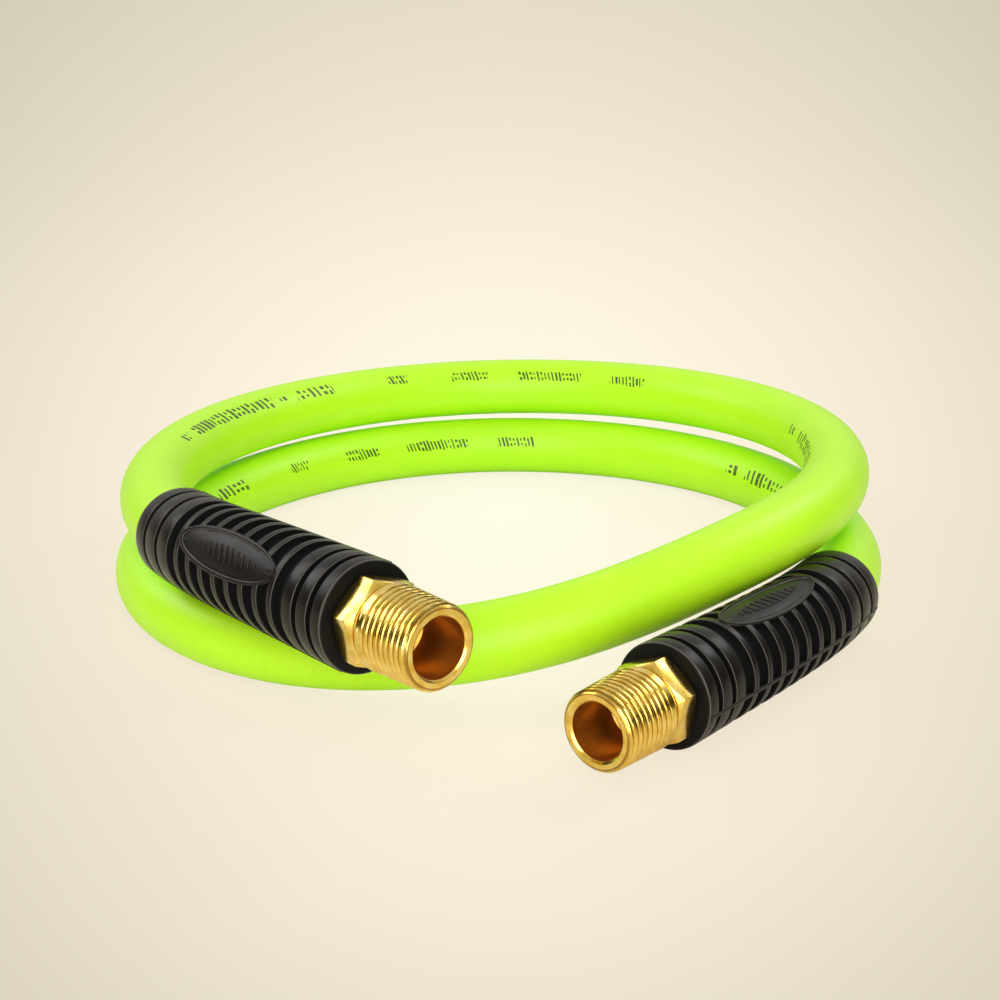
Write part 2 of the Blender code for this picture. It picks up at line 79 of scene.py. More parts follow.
# Distance from the coil's middle and height of the hose's axis, in millimetres.
coil_stations = np.array([
    (133.0, 39.55), (114.0, 35.84), (106.5, 33.78), (105.5, 32.55), (109.5, 31.52),
    (115.0, 31.31), (116.5, 32.34), (113.5, 33.78), (107.5, 34.40), (102.0, 33.78),
    (101.0, 29.46), (107.0, 19.60), (112.5, 12.60), (113.5, 10.45), (108.5, 10.30),
    (104.0, 10.30), (105.0, 10.30), (108.0, 10.30), (110.0, 10.30), (109.5, 10.35),
    (108.0, 11.00), (113.5, 13.30), (126.0, 14.10),
]) * MM


def through_stations(values, first_slope, last_slope, places):
    """Smooth cubic through evenly spaced values, with the slopes given at both ends."""
    count = len(values)
    matrix = np.identity(count)
    right = np.zeros(count)
    right[0] = first_slope
    right[-1] = last_slope
    for index in range(1, count - 1):
        matrix[index, index - 1:index + 2] = (1, 4, 1)
        right[index] = 3 * (values[index + 1] - values[index - 1])
    slopes = np.linalg.solve(matrix, right)
    start = np.minimum(places.astype(int), count - 2)
    part = places - start
    rest = 1 - part
    from_start = (values[start] * rest * rest * (1 + 2 * part)
                  + slopes[start] * part * rest * rest)
    to_next = (values[start + 1] * part * part * (1 + 2 * rest)
               - slopes[start + 1] * part * part * rest)
    return from_start + to_next


# The line leans off the circle where it enters and leaves the coil, and falls a little
# as it enters.
lean_in = math.radians(25.7)
lean_out = math.radians(20.5)
fall_in = math.radians(1.1)
line_steps = 3000
station_angle = coil_sweep / (len(coil_stations) - 1)
station_places = np.linspace(0, len(coil_stations) - 1, line_steps)
first_radius, last_radius = coil_stations[0, 0], coil_stations[-1, 0]
coil_radii = through_stations(
    coil_stations[:, 0],
    -math.tan(lean_in) * first_radius * station_angle,
    math.tan(lean_out) * last_radius * station_angle,
    station_places,
)
coil_heights = through_stations(
    coil_stations[:, 1],
    -math.tan(fall_in) * first_radius * station_angle / math.cos(lean_in),
    0.0,
    station_places,
)
coil_angles = coil_start - station_angle * station_places
coil = np.stack([
    coil_middle[0] + coil_radii * np.cos(coil_angles),
    coil_middle[1] + coil_radii * np.sin(coil_angles),
    coil_heights,
], axis=1)
into_coil = (coil[1] - coil[0]) / np.linalg.norm(coil[1] - coil[0])
out_of_coil = (coil[-1] - coil[-2]) / np.linalg.norm(coil[-1] - coil[-2])
line_points = np.vstack([
    coil[0] - straight_a * into_coil, coil, coil[-1] + straight_b * out_of_coil])
line_places = np.concatenate([
    [0], np.cumsum(np.linalg.norm(np.diff(line_points, axis=0), axis=1))])
line_length = line_places[-1]


def line_at(places):
    """Points of the hose's axis, by their distance along it from the nose of end A."""
    return np.stack([
        np.interp(places, line_places, line_points[:, axis]) for axis in range(3)], axis=-1)


def directions_at(places):
    """Along the hose, up from it and to its side, one row for each place."""
    half_step = 0.5 * MM
    ahead = line_at(np.minimum(places + half_step, line_length))
    behind = line_at(np.maximum(places - half_step, 0))
    along = ahead - behind
    along /= np.linalg.norm(along, axis=-1, keepdims=True)
    up = np.array([0, 0, 1.0]) - along[..., 2:] * along
    up /= np.linalg.norm(up, axis=-1, keepdims=True)
    return along, up, np.cross(along, up)


# Where the print runs, in degrees from the top towards the inside of the coil: the hose
# is twisted a little in each turn.
print_turn_places = np.array([
    0, 192, 263, 322, 374, 432, 521, 752, 912, 957, 1002, 1067, 1162, 1202, 1412]) * MM
print_turns = np.radians([26, 30, 42, 45, 53, 57, 65, 60, 55, 61, 68, 68, 61, 57, 50])


def tube_on_line(name, outside, inside, ring_count, sides):
    """A tube of even wall along the hose's line, between two radii. Its UV map holds
    metres along it, and metres round it from the line of the print."""
    places = np.linspace(hose_inset, line_length - hose_inset, ring_count)
    centres = line_at(places)
    along, up, side = directions_at(places)
    turns = np.arange(sides) * math.tau / sides
    spokes = (np.cos(turns)[None, :, None] * up[:, None]
              + np.sin(turns)[None, :, None] * side[:, None])
    shells = [centres[:, None] + radius * spokes for radius in (outside, inside)]
    inner = ring_count * sides
    faces = []
    corners = []
    for ring in range(ring_count - 1):
        for step in range(sides):
            quad = ((ring, step), (ring, step + 1), (ring + 1, step + 1), (ring + 1, step))
            for first, order in ((0, (0, 1, 2, 3)), (inner, (3, 2, 1, 0))):
                faces.append([first + quad[k][0] * sides + quad[k][1] % sides for k in order])
                corners += [quad[k] for k in order]
    # A flat ring closes the wall at each end.
    for ring, order in ((0, (3, 2, 1, 0)), (ring_count - 1, (0, 1, 2, 3))):
        for step in range(sides):
            quad = ((0, step), (0, step + 1), (inner, step + 1), (inner, step))
            faces.append([quad[k][0] + ring * sides + quad[k][1] % sides for k in order])
            corners += [(ring, quad[k][1]) for k in order]
    points = np.concatenate([shell.reshape(-1, 3) for shell in shells])
    mesh = bpy.data.meshes.new(name)
    mesh.from_pydata(points.tolist(), [], faces)
    corners = np.array(corners).reshape(-1, 4, 2)
    print_line = np.interp(places, print_turn_places, print_turns)
    around = corners[:, :, 1] * math.tau / sides - print_line[corners[:, :, 0]]
    around -= math.tau * np.floor(
        (around.min(axis=1, keepdims=True) + math.pi) / math.tau)
    uv = np.stack([places[corners[:, :, 0]], around * hose_radius], axis=2)
    mesh.uv_layers.new(name="along_and_round").data.foreach_set("uv", uv.ravel())
    mesh.shade_smooth()
    mesh.set_sharp_from_angle(angle=math.radians(50))
    piece = bpy.data.objects.new(name, mesh)
    scene.collection.objects.link(piece)
    return piece, centres


def linear(hex_colour):
    """An sRGB hex colour as the linear values that shaders take."""
    values = [int(hex_colour[index:index + 2], 16) / 255 for index in (0, 2, 4)]
    return (*[v / 12.92 if v <= 0.04045 else ((v + 0.055) / 1.055) ** 2.4 for v in values],
            1.0)


def add_node(tree, kind, inputs=None, stops=None, **settings):
    """Adds a shader node with its settings. An input is a value or another node's output,
    and stops are the places and colours of a ramp."""
    node = tree.nodes.new("ShaderNode" + kind)
    for name, value in settings.items():
        setattr(node, name, value)
    for name, value in (inputs or {}).items():
        if isinstance(value, bpy.types.NodeSocket):
            tree.links.new(value, node.inputs[name])
        else:
            node.inputs[name].default_value = value
    if stops:
        elements = node.color_ramp.elements
        elements.remove(elements[1])
        elements[0].position = stops[0][0]
        elements[0].color = linear(stops[0][1])
        for place, colour in stops[1:]:
            elements.new(place).color = linear(colour)
    return node


def new_material(name):
    """A material with its node tree and its shader."""
    material = bpy.data.materials.new(name)
    material.use_nodes = True
    tree = material.node_tree
    return material, tree, tree.nodes["Principled BSDF"]


# Lime hybrid polymer, extruded: a soft satin skin, faintly cloudy, with a fine grain. The
# scale of a noise is how many of its features a metre holds, so the clouds are 17 mm
# across. The grain is 0.7 mm, coarser than the real one, which wouldn't show.
cloud_scale = 60.0
grain_scale = 1500.0
polymer, tree, shader = new_material("extruded_lime_polymer")
uv = add_node(tree, "UVMap", uv_map="along_and_round")
hose_place = add_node(tree, "SeparateXYZ", {0: uv.outputs[0]})
position = add_node(tree, "TexCoord")
cloud = add_node(tree, "TexNoise", {"Vector": position.outputs["Object"],
                                    "Scale": cloud_scale, "Detail": 3.0})
grain = add_node(tree, "TexNoise", {"Vector": position.outputs["Object"],
                                    "Scale": grain_scale, "Detail": 2.0})
cloudy = add_node(tree, "Mix", {0: cloud.outputs["Fac"], 6: linear("B4F016"),
                                7: linear("C0F822")}, data_type="RGBA")
grainy = add_node(tree, "MapRange", {0: grain.outputs["Fac"], 1: 0.3, 2: 0.7,
                                     3: 0.965, 4: 1.025})
skin = add_node(tree, "Mix", {0: 1.0, 6: cloudy.outputs[2], 7: grainy.outputs[0]},
                data_type="RGBA", blend_type="MULTIPLY")

# The print is rows of plain ticks in dark green ink: four groups of bold ticks and four
# of fine ones to each repeat. The ramp gives each group's half height, and black where
# the hose is bare.
repeat = 319 * MM
print_start = 199 * MM
fine_pitch = 1.5 * MM
bold_pitch = fine_pitch * 1.9
bold_end = 0.302
tallest = 2.6 * MM
shortest = 0.62 * tallest
slant = -0.3
beyond_start = add_node(tree, "Math", {0: hose_place.outputs[0], 1: print_start},
                        operation="SUBTRACT")
repeats = add_node(tree, "Math", {0: beyond_start.outputs[0], 1: repeat}, operation="DIVIDE")
local = add_node(tree, "Math", {0: repeats.outputs[0]}, operation="FRACT")
groups = add_node(tree, "ValToRGB", {0: local.outputs[0]}, stops=[
    (0.0, "DDDDDD"), (0.018, "000000"), (0.035, "FFFFFF"), (0.205, "000000"),
    (0.216, "A0A0A0"), (0.23, "000000"), (0.245, "EEEEEE"), (bold_end, "000000"),
    (0.379, "E6E6E6"), (0.41, "000000"), (0.467, "E6E6E6"), (0.515, "000000"),
    (0.551, "E6E6E6"), (0.636, "000000"), (0.672, "E6E6E6"), (0.722, "000000")])
groups.color_ramp.interpolation = "CONSTANT"
bold = add_node(tree, "Math", {0: local.outputs[0], 1: bold_end}, operation="LESS_THAN")
slanted = add_node(tree, "Math", {0: hose_place.outputs[1], 1: slant,
                                  2: hose_place.outputs[0]}, operation="MULTIPLY_ADD")
pitch_here = add_node(tree, "MapRange", {0: bold.outputs[0], 3: fine_pitch, 4: bold_pitch})
count = add_node(tree, "Math", {0: slanted.outputs[0], 1: pitch_here.outputs[0]},
                 operation="DIVIDE")
which = add_node(tree, "Math", {0: count.outputs[0]}, operation="FLOOR")
within = add_node(tree, "Math", {0: count.outputs[0]}, operation="FRACT")
# Each tick's number gives it a width, as a share of the pitch, a height, and in rather
# fewer than half of them a gap across the middle.
chance = add_node(tree, "TexWhiteNoise", {"W": which.outputs[0]}, noise_dimensions="1D")
width = add_node(tree, "MapRange", {0: chance.outputs["Value"], 3: 0.34, 4: 0.66})
tick = add_node(tree, "Math", {0: within.outputs[0], 1: width.outputs[0]},
                operation="LESS_THAN")
chances = add_node(tree, "SeparateColor", {0: chance.outputs["Color"]})
height = add_node(tree, "MapRange", {0: chances.outputs[1], 3: shortest, 4: tallest})
height = add_node(tree, "Math", {0: groups.outputs[0], 1: height.outputs[0]},
                  operation="MULTIPLY")
away = add_node(tree, "Math", {0: hose_place.outputs[1]}, operation="ABSOLUTE")
row = add_node(tree, "Math", {0: away.outputs[0], 1: height.outputs[0]},
               operation="LESS_THAN")
gap = add_node(tree, "MapRange", {0: chances.outputs[2], 1: 0.55, 2: 0.56,
                                  3: -1.0, 4: 0.45 * MM})
off_gap = add_node(tree, "Math", {0: away.outputs[0], 1: gap.outputs[0]},
                   operation="GREATER_THAN")
ink = add_node(tree, "Math", {0: row.outputs[0], 1: tick.outputs[0]}, operation="MULTIPLY")
ink = add_node(tree, "Math", {0: ink.outputs[0], 1: off_gap.outputs[0]},
               operation="MULTIPLY")
wear_and_sheen = add_node(tree, "MapRange", {0: grain.outputs["Fac"], 1: 0.3, 2: 0.45,
                                   3: 0.6, 4: 0.93})
ink = add_node(tree, "Math", {0: ink.outputs[0], 1: wear_and_sheen.outputs[0]}, operation="MULTIPLY")
colour = add_node(tree, "Mix", {0: ink.outputs[0], 6: skin.outputs[2],
                                7: linear("26340F")}, data_type="RGBA")
bump = add_node(tree, "Bump", {"Height": grain.outputs["Fac"], "Strength": 0.12,
                               "Distance": 0.05 * MM})
tree.links.new(colour.outputs[2], shader.inputs["Base Color"])
tree.links.new(bump.outputs[0], shader.inputs["Normal"])
shader.inputs["Roughness"].default_value = 0.42
shader.inputs["Specular IOR Level"].default_value = 0.4

cover, cover_line = tube_on_line("hose_cover_skin", hose_radius, cover_inside,
                                 ring_count=400, sides=56)
cover.data.materials.append(polymer)
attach(cover, "root")
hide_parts("hose_cover")


# ---- Reinforcement
# Polyester yarn braided over the liner, which keeps the hose round under pressure. It
# is bonded between liner and cover, and shows only where the hose is cut.

braid_outside = 7.55 * MM
braid_inside = 7.25 * MM
yarn_pitch = 2.4 * MM

# Braided polyester yarn: off-white, with two slanted sets of yarns that cross in relief.
yarn, tree, shader = new_material("braided_polyester_yarn")
uv = add_node(tree, "UVMap", uv_map="along_and_round")
hose_place = add_node(tree, "SeparateXYZ", {0: uv.outputs[0]})
waves = []
for sense in ("ADD", "SUBTRACT"):
    wave = add_node(tree, "Math", {0: hose_place.outputs[0], 1: hose_place.outputs[1]},
                    operation=sense)
    wave = add_node(tree, "Math", {0: wave.outputs[0], 1: math.tau / yarn_pitch},
                    operation="MULTIPLY")
    waves.append(add_node(tree, "Math", {0: wave.outputs[0]}, operation="SINE"))
weave = add_node(tree, "Math", {0: waves[0].outputs[0], 1: waves[1].outputs[0]},
                 operation="MULTIPLY")
weave = add_node(tree, "MapRange", {0: weave.outputs[0], 1: -1.0, 2: 1.0})
colour = add_node(tree, "Mix", {0: weave.outputs[0], 6: linear("C9C7BE"),
                                7: linear("EDEBE2")}, data_type="RGBA")
bump = add_node(tree, "Bump", {"Height": weave.outputs[0], "Strength": 0.5,
                               "Distance": 0.15 * MM})
tree.links.new(colour.outputs[2], shader.inputs["Base Color"])
tree.links.new(bump.outputs[0], shader.inputs["Normal"])
shader.inputs["Roughness"].default_value = 0.8

braid, _ = tube_on_line("hose_braid", braid_outside, braid_inside, ring_count=240, sides=24)
braid.data.materials.append(yarn)
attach(braid, "root")
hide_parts("hose_reinforcement")


# ---- Inner tube
# The liner that holds the air: black rubber, extruded first, smooth in its half-inch
# bore.

liner_outside = 6.95 * MM
liner_inside = 6.35 * MM

# Extruded liner rubber: dull black, with a faint grey bloom in patches of 2.5 mm.
bloom_scale = 400.0
liner_rubber, tree, shader = new_material("extruded_liner_rubber")
position = add_node(tree, "TexCoord")
bloom = add_node(tree, "TexNoise", {"Vector": position.outputs["Object"],
                                    "Scale": bloom_scale, "Detail": 4.0})
colour = add_node(tree, "Mix", {0: bloom.outputs["Fac"], 6: linear("1B1B1C"),
                                7: linear("2A2A2B")}, data_type="RGBA")
tree.links.new(colour.outputs[2], shader.inputs["Base Color"])
shader.inputs["Roughness"].default_value = 0.5

liner, _ = tube_on_line("hose_liner", liner_outside, liner_inside, ring_count=240, sides=24)
liner.data.materials.append(liner_rubber)
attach(liner, "root")
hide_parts("hose_inner_tube")


# ---- Ferrules
# A brass sleeve grips the hose round each fitting's stem. It is drawn, pushed over the
# hose's end and crimped in three bands, and the bend restrictor hides it. The packed
# solids are kept, with drawn brass on them.

# Drawn brass: darker and duller than turned brass, and mottled in spots of 1.1 mm.
mark_scale = 900.0
drawn_brass, tree, shader = new_material("drawn_brass")
position = add_node(tree, "TexCoord")
marks = add_node(tree, "TexNoise", {"Vector": position.outputs["Object"],
                                    "Scale": mark_scale, "Detail": 3.0})
colour = add_node(tree, "Mix", {0: marks.outputs["Fac"], 6: linear("CBA24B"),
                                7: linear("E3C26C")}, data_type="RGBA")
tree.links.new(colour.outputs[2], shader.inputs["Base Color"])
shader.inputs["Metallic"].default_value = 1.0
shader.inputs["Roughness"].default_value = 0.35
for end in ("a", "b"):
    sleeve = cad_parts["ferrule_" + end]
    sleeve.data.materials.clear()
    sleeve.data.materials.append(drawn_brass)


# ---- Pipe fittings
# Each end is a half-inch tapered male pipe thread, 14 to the inch, turned from brass bar
# in one piece with a hexagon and a barbed stem. The mouth is drilled wide and steps
# down to the stem's bore. One is modelled along +X from its nose, then copied.

thread_sides = 120
thread_pitch = 25.4 * MM / 14
thread_depth = 1.0 * MM
thread_length = 17.7 * MM
thread_ring_count = 178
taper = 1 / 32
nose_crest = 10.36 * MM
nose_edge = 9.46 * MM
runout_start = 14.8 * MM
mouth_radius = 7.4 * MM
mouth_depth = 15.5 * MM
bore_radius = 4.6 * MM
relief_front = 18.6 * MM
relief_radius = 9.71 * MM
hub_front = 19.9 * MM
hub_radius = 9.0 * MM
collar_front = 26.0 * MM
collar_rear = 29.9 * MM
collar_radius = 6.6 * MM
stem_radius = 5.45 * MM
stem_end = 54.0 * MM
barb_radius = 6.05 * MM
barb_pitch = 5.9 * MM
last_barb = 53.8 * MM
hexagon_front = 19.4 * MM
hexagon_rear = 26.6 * MM
hexagon_width = 20.64 * MM


def only(piece):
    """Makes a piece the one that the next operators act on."""
    bpy.ops.object.select_all(action="DESELECT")
    piece.select_set(True)
    bpy.context.view_layer.objects.active = piece


def apply_modifier(piece, kind, **settings):
    """Gives a piece a modifier with these settings, and applies it at once."""
    modifier = piece.modifiers.new(kind.lower(), kind)
    for name, value in settings.items():
        setattr(modifier, name, value)
    only(piece)
    bpy.ops.object.modifier_apply(modifier=modifier.name)


def wire_piece(name, profile):
    """A closed profile of (place, radius) points, drawn as a wire above the X axis."""
    count = len(profile)
    edges = [(index, (index + 1) % count) for index in range(count)]
    mesh = bpy.data.meshes.new(name)
    mesh.from_pydata([(place, 0, radius) for place, radius in profile], edges, [])
    piece = bpy.data.objects.new(name, mesh)
    scene.collection.objects.link(piece)
    return piece


def clean_up(piece):
    """Merges doubled points and turns all faces outward."""
    only(piece)
    bpy.ops.object.mode_set(mode="EDIT")
    bpy.ops.mesh.select_all(action="SELECT")
    bpy.ops.mesh.remove_doubles(threshold=2e-6)
    bpy.ops.mesh.normals_make_consistent(inside=False)
    bpy.ops.object.mode_set(mode="OBJECT")


def drop_slivers(piece):
    """Dissolves the slivers that bevels and booleans leave behind."""
    only(piece)
    bpy.ops.object.mode_set(mode="EDIT")
    bpy.ops.mesh.select_all(action="SELECT")
    bpy.ops.mesh.dissolve_degenerate(threshold=3e-6)
    bpy.ops.object.mode_set(mode="OBJECT")


def lathe(name, profile, sides):
    """Turns a closed profile once round the X axis."""
    piece = wire_piece(name, profile)
    only(piece)
    bpy.ops.object.mode_set(mode="EDIT")
    bpy.ops.mesh.select_all(action="SELECT")
    bpy.ops.mesh.spin(steps=sides, angle=math.tau, center=(0, 0, 0), axis=(1, 0, 0))
    bpy.ops.object.mode_set(mode="OBJECT")
    clean_up(piece)
    return piece


# The outline runs in at the mouth and back along the bore, then forward over the barbs,
# the collar, the hub under the hexagon, the relief behind the thread, and the thread.
thread_end = nose_crest + thread_length * taper
turned = [
    (0, nose_edge), (0, mouth_radius + 0.62 * MM), (0.1 * MM, mouth_radius + 0.45 * MM),
    (0.5 * MM, mouth_radius), (5 * MM, mouth_radius), (10 * MM, mouth_radius),
    (mouth_depth, mouth_radius),
    (mouth_depth + (mouth_radius - bore_radius) * 0.6, bore_radius),
    (30 * MM, bore_radius), (stem_end, bore_radius), (stem_end, stem_radius),
]
for barb in range(4):
    rear = last_barb - barb * barb_pitch
    turned += [(rear, stem_radius), (rear - 5.7 * MM, barb_radius),
               (rear - 5.8 * MM, stem_radius)]
turned += [
    (collar_rear, stem_radius), (collar_rear, collar_radius), (collar_front, collar_radius),
    (collar_front, hub_radius), (hub_front, hub_radius), (hub_front, relief_radius),
    (relief_front, relief_radius), (18.3 * MM, relief_radius + 0.12 * MM),
    (18.02 * MM, thread_end - 0.3 * MM), (17.9 * MM, thread_end - 0.08 * MM),
    (thread_length, thread_end),
]
thread_rings = np.linspace(thread_length, 0, thread_ring_count)[1:-1]
turned += [(place, nose_crest + place * taper) for place in thread_rings]
body = lathe("fitting", turned, thread_sides)

# The right-handed helix is cut into the turned rings, with its crests and roots a little
# rounded, a chamfer at the nose and a runout towards the hexagon. The form's places and
# drops are in millimetres along one pitch.
thread_form = [(0, 0), (0.25, 0), (0.38, -0.07), (0.6, -0.5), (0.83, -0.93), (0.907, -1.0),
               (0.984, -0.93), (1.214, -0.5), (1.434, -0.07), (1.564, 0)]
form_places, form_drops = zip(*thread_form)
end_margin = 0.01 * MM
runout_length = thread_length - runout_start - 0.5 * MM
for vertex in body.data.vertices:
    along = vertex.co.x
    reach = math.hypot(vertex.co.y, vertex.co.z)
    threaded = end_margin < along < thread_length - end_margin
    if not (threaded and reach > nose_crest - 0.1 * MM):
        continue
    turn = math.atan2(vertex.co.z, vertex.co.y)
    phase = (along / thread_pitch - turn / math.tau) % 1
    drop = np.interp(phase * thread_pitch / MM, form_places, form_drops) * MM
    runout = max(0, (along - runout_start) / runout_length)
    radius = nose_crest + min(0, drop + thread_depth * min(1, runout)) + along * taper
    radius = min(radius, nose_edge + along)
    vertex.co = (along, radius * math.cos(turn), radius * math.sin(turn))

# The hexagon is milled on the bar, and a turning tool takes its corners off at both ends.
# Its middle is taken out before it joins the turned body, so the bore stays open.
bpy.ops.mesh.primitive_cylinder_add(
    vertices=6, radius=hexagon_width / 2 / math.cos(math.pi / 6),
    depth=hexagon_rear - hexagon_front,
    location=((hexagon_front + hexagon_rear) / 2, 0, 0), rotation=(0, math.radians(90), 0))
hexagon = bpy.context.active_object
bpy.ops.object.transform_apply(location=True, rotation=True, scale=True)
face_radius = hexagon_width / 2 - 0.3 * MM
beyond_corners = 13.0 * MM
chamfer = (beyond_corners - face_radius) * math.tan(math.radians(35))
axis_gap = 1.0 * MM
core_gap = 0.9 * MM
core_radius = 8.0 * MM
core_front = hexagon_front - 1.0 * MM
core_rear = hexagon_rear + 1.0 * MM
turning = lathe("hexagon_turning", [
    (hexagon_front, axis_gap), (hexagon_front, face_radius),
    (hexagon_front + chamfer, beyond_corners), (hexagon_rear - chamfer, beyond_corners),
    (hexagon_rear, face_radius), (hexagon_rear, axis_gap),
], sides=144)
core = lathe("hexagon_core", [
    (core_front, core_gap), (core_front, core_radius),
    (core_rear, core_radius), (core_rear, core_gap),
], sides=120)
apply_modifier(hexagon, "BOOLEAN", operation="INTERSECT", object=turning, solver="EXACT")
apply_modifier(hexagon, "BEVEL", width=0.12 * MM, segments=2, limit_method="ANGLE",
               angle_limit=math.radians(20), use_clamp_overlap=True)
apply_modifier(hexagon, "BOOLEAN", operation="DIFFERENCE", object=core, solver="EXACT")
drop_slivers(hexagon)
apply_modifier(body, "BOOLEAN", operation="UNION", object=hexagon, solver="EXACT")
drop_slivers(body)
for helper in (turning, core, hexagon):
    bpy.data.objects.remove(helper, do_unlink=True)


def keep_own_place(piece):
    """Stores where each point lies on the straight piece, for patterns that follow it."""
    attribute = piece.data.attributes.new("own_place", "FLOAT_VECTOR", "POINT")
    values = np.empty(len(piece.data.vertices) * 3)
    piece.data.vertices.foreach_get("co", values)
    attribute.data.foreach_set("vector", values)


keep_own_place(body)

# Turned brass: bright, with fine rings left by the tool, and a little uneven tarnish in
# patches of 3.6 mm. The rings are 0.3 mm apart, coarser than a tool's feed, to show. The
# drill leaves the mouth duller than the tool leaves the outside, and the mouth's deeper
# orange is painted light: a painted reflection of light bouncing inside the bore.
ring_scale = 3500.0
tarnish_scale = 280.0
turned_brass, tree, shader = new_material("turned_brass")
own = add_node(tree, "Attribute", attribute_name="own_place")
split = add_node(tree, "SeparateXYZ", {0: own.outputs["Vector"]})
flat = add_node(tree, "CombineXYZ", {1: split.outputs[1], 2: split.outputs[2]})
off_axis = add_node(tree, "VectorMath", {0: flat.outputs[0]}, operation="LENGTH")
outline = add_node(tree, "CombineXYZ", {0: split.outputs[0], 1: off_axis.outputs["Value"]})
rings = add_node(tree, "TexNoise", {"Vector": outline.outputs[0], "Scale": ring_scale,
                                    "Detail": 2.0})
tarnish = add_node(tree, "TexNoise", {"Vector": own.outputs["Vector"],
                                      "Scale": tarnish_scale, "Detail": 5.0})
colour = add_node(tree, "ValToRGB", {0: tarnish.outputs["Fac"]}, stops=[
    (0.3, "D9B24A"), (0.5, "EAC965"), (0.7, "F4DC86")])
# The roots of the thread, which follow its taper, are painted darker: painted shade in the
# thread's grooves.
level = add_node(tree, "Math", {0: split.outputs[0], 1: -taper,
                                2: off_axis.outputs["Value"]}, operation="MULTIPLY_ADD")
root = add_node(tree, "MapRange", {0: level.outputs[0], 1: nose_crest - thread_depth,
                                   2: nose_crest - 0.3 * MM, 3: 0.9, 4: 0.0})
before_runout = add_node(tree, "Math", {0: split.outputs[0], 1: runout_start},
                         operation="LESS_THAN")
outside = add_node(tree, "Math", {0: off_axis.outputs["Value"], 1: nose_crest - 1.1 * MM},
                   operation="GREATER_THAN")
root = add_node(tree, "Math", {0: root.outputs[0], 1: before_runout.outputs[0]},
                operation="MULTIPLY")
root = add_node(tree, "Math", {0: root.outputs[0], 1: outside.outputs[0]},
                operation="MULTIPLY")
# Painted shade: the thread's roots are mixed towards dark brown here.
colour = add_node(tree, "Mix", {0: root.outputs[0], 6: colour.outputs[0],
                                7: linear("84501A")}, data_type="RGBA")
# Inside the mouth: rougher, and painted a deeper orange for light bouncing in the bore.
drilled_and_bounce_tint = add_node(tree, "MapRange", {
    0: off_axis.outputs["Value"], 1: mouth_radius + 0.05 * MM, 2: mouth_radius + 0.1 * MM,
    3: 1.0, 4: 0.0})
colour = add_node(tree, "Mix", {0: drilled_and_bounce_tint.outputs[0], 6: colour.outputs[2],
                                7: linear("E3AA50")}, data_type="RGBA")
duller = add_node(tree, "Math", {0: drilled_and_bounce_tint.outputs[0], 1: 0.16}, operation="MULTIPLY")
rough = add_node(tree, "MapRange", {0: rings.outputs["Fac"], 1: 0.3, 2: 0.7,
                                    3: 0.15, 4: 0.27})
rough = add_node(tree, "Math", {0: rough.outputs[0], 1: duller.outputs[0]},
                 operation="ADD")
bump = add_node(tree, "Bump", {"Height": rings.outputs["Fac"], "Strength": 0.3,
                               "Distance": 0.02 * MM})
tree.links.new(colour.outputs[2], shader.inputs["Base Color"])
tree.links.new(rough.outputs[0], shader.inputs["Roughness"])
tree.links.new(bump.outputs[0], shader.inputs["Normal"])
shader.inputs["Metallic"].default_value = 1.0
body.data.materials.clear()
body.data.materials.append(turned_brass)
only(body)
bpy.ops.object.shade_smooth_by_angle(angle=math.radians(25))

# Turn of a hexagon's corner from straight up, at each end.
hexagon_turn = {"a": math.radians(-13), "b": math.radians(8)}


def end_placement(end):
    """Turns +X of a straight piece into the hose at that end's nose, with +Z up."""
    place = 0.0 if end == "a" else line_length
    along, up, side = directions_at(np.array(place))
    if end == "b":
        along, side = -along, -side
    matrix = Matrix([list(along), list(-side), list(up)]).transposed().to_4x4()
    matrix.translation = Vector(line_at(np.array(place)))
    return matrix


for end in ("a", "b"):
    fitting = body.copy()
    fitting.data = body.data.copy()
    fitting.name = "pipe_fitting_" + end
    scene.collection.objects.link(fitting)
    corner_up = Matrix.Rotation(math.radians(90) + hexagon_turn[end], 4, "X")
    fitting.data.transform(end_placement(end) @ corner_up)
    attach(fitting, "root")
    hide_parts("fitting_" + end)
bpy.data.objects.remove(body, do_unlink=True)


# ---- Bend restrictors
# A sleeve of moulded black rubber is pushed over each end, so that the hose doesn't kink
# at the ferrule: bands at both ends, narrow ribs between, and a rimmed oval across them.
# One is modelled straight along +X, then copied and bent with its hose.

boot_front = 26.9 * MM
front_crest = 14.1 * MM
rear_crest = 13.0 * MM
groove_depth = 1.7 * MM
front_rounding = 0.9 * MM
rear_rounding = 1.1 * MM
crest_rounding = 0.32 * MM
groove_rounding = 0.15 * MM
# The sleeve's hole is stepped: its radii round the hose, the ferrule and the collar, and
# where the ferrule's room starts and ends.
hose_hole = 10.42 * MM
ferrule_hole = 11.75 * MM
collar_hole = 6.9 * MM
ferrule_room = (28.6 * MM, 57.4 * MM)


def row_of_rings(first, pitch, width, count):
    """Where a row of raised rings start and finish, from the sleeve's front."""
    return [(first + index * pitch, first + index * pitch + width) for index in range(count)]


raised = (
    row_of_rings(first=0, pitch=6.1 * MM, width=4.1 * MM, count=3)
    + row_of_rings(first=20.75 * MM, pitch=6.45 * MM, width=2.0 * MM, count=8)
    + row_of_rings(first=72.35 * MM, pitch=7.8 * MM, width=5.7 * MM, count=3))
boot_length = raised[-1][1]
boot_rear = boot_front + boot_length


def crest(place):
    """The radius over bands and ribs, which shrinks evenly towards the rear."""
    return front_crest + (place - boot_front) / boot_length * (rear_crest - front_crest)


